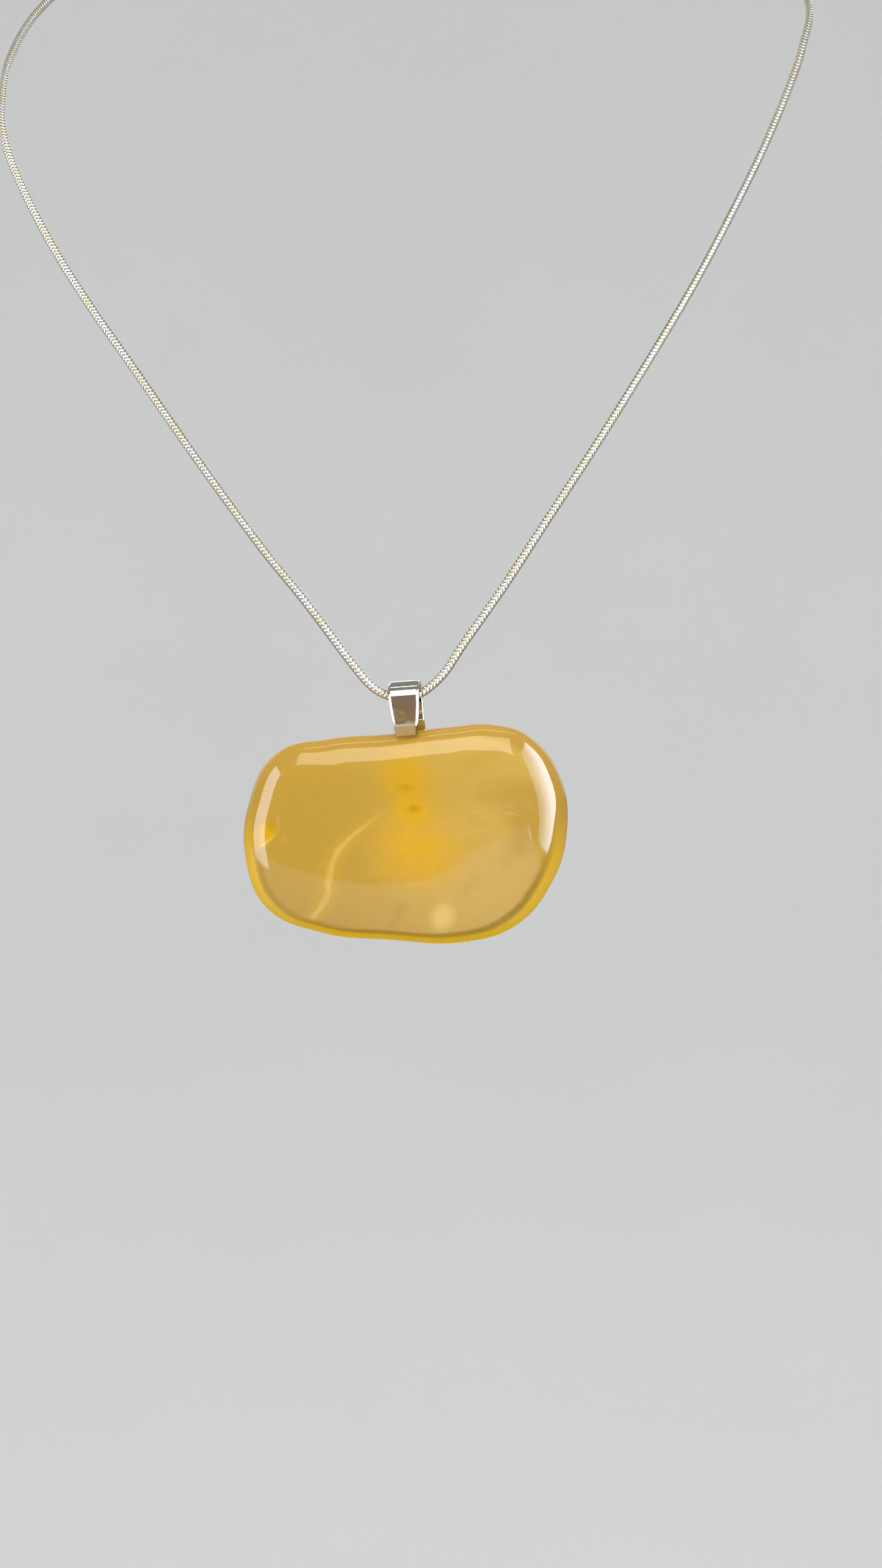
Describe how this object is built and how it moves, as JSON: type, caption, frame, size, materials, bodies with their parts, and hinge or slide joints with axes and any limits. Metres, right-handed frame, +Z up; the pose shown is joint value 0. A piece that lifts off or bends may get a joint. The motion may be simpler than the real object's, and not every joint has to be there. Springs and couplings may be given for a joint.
{
  "type": "pendant necklace",
  "caption": "Pendant necklace: a polished honey-yellow stone slab on a folded glue-on bail, hung from a fine snake chain with cupped end caps, jump rings and a lobster clasp.",
  "frame": {"origin": "middle of the closed clasp, where the necklace rests on the nape", "axes": "+X to the wearer's left, +Y from the chest towards the nape, +Z up; the pendant hangs at -Y and -Z"},
  "size_m": [0.1257, 0.111, 0.1686],
  "materials": {
    "chain_silver": "bright silver plate on fine snake links",
    "honey_stone": "translucent honey-yellow calcite or agate, high polish",
    "bail_silver": "mirror-polished silver plate",
    "clear_glue": "cured clear adhesive",
    "end_cap_silver": "bright silver plate",
    "ring_silver": "bright silver plate",
    "clasp_silver": "bright silver plate",
    "rivet_silver": "bright silver plate",
    "lever_silver": "bright silver plate",
    "spring_steel": "drawn spring wire"
  },
  "bodies": {
    "chain": {"snake_chain": "chain_silver", "end_cap_left": "end_cap_silver", "end_cap_right": "end_cap_silver"},
    "pendant": {"stone": "honey_stone", "glue_pad": "clear_glue", "bail": "bail_silver"},
    "ring_left": {"jump_ring_left": "ring_silver"},
    "ring_right": {"jump_ring_right": "ring_silver"},
    "clasp": {"clasp_body": "clasp_silver", "clasp_rivet": "rivet_silver", "clasp_spring": "spring_steel"},
    "lever": {"clasp_lever": "lever_silver"}
  },
  "joints": [
    {"name": "pendant_swing", "type": "hinge", "parent": "chain", "child": "pendant", "pos_m": [0, -0.103, -0.13], "axis": [1, 0, 0], "range_deg": [-80, 30]},
    {"name": "ring_left_swing", "type": "hinge", "parent": "chain", "child": "ring_left", "pos_m": [-0.009, 0, 0], "axis": [0, 0, 1], "range_deg": [-8, 8]},
    {"name": "clasp_swing", "type": "hinge", "parent": "ring_left", "child": "clasp", "pos_m": [-0.00625, 0, 0], "axis": [0, 0, 1], "range_deg": [-8, 8]},
    {"name": "ring_right_swing", "type": "hinge", "parent": "chain", "child": "ring_right", "pos_m": [0.0081, 0, 0], "axis": [0, 0, 1], "range_deg": [-8, 8]},
    {"name": "lever_hinge", "type": "hinge", "parent": "clasp", "child": "lever", "pos_m": [-0.0019, 0, 0.0009], "axis": [0, 1, 0], "range_deg": [0, 20], "stiffness_Nm_per_rad": 0.0008, "springref_deg": -20.05, "deforming": ["clasp_spring"]}
  ],
  "couplings": [
    {"joint": "clasp_swing", "follows": "ring_left_swing", "ratio": -1},
    {"joint": "ring_right_swing", "follows": "ring_left_swing", "ratio": -0.74}
  ]
}
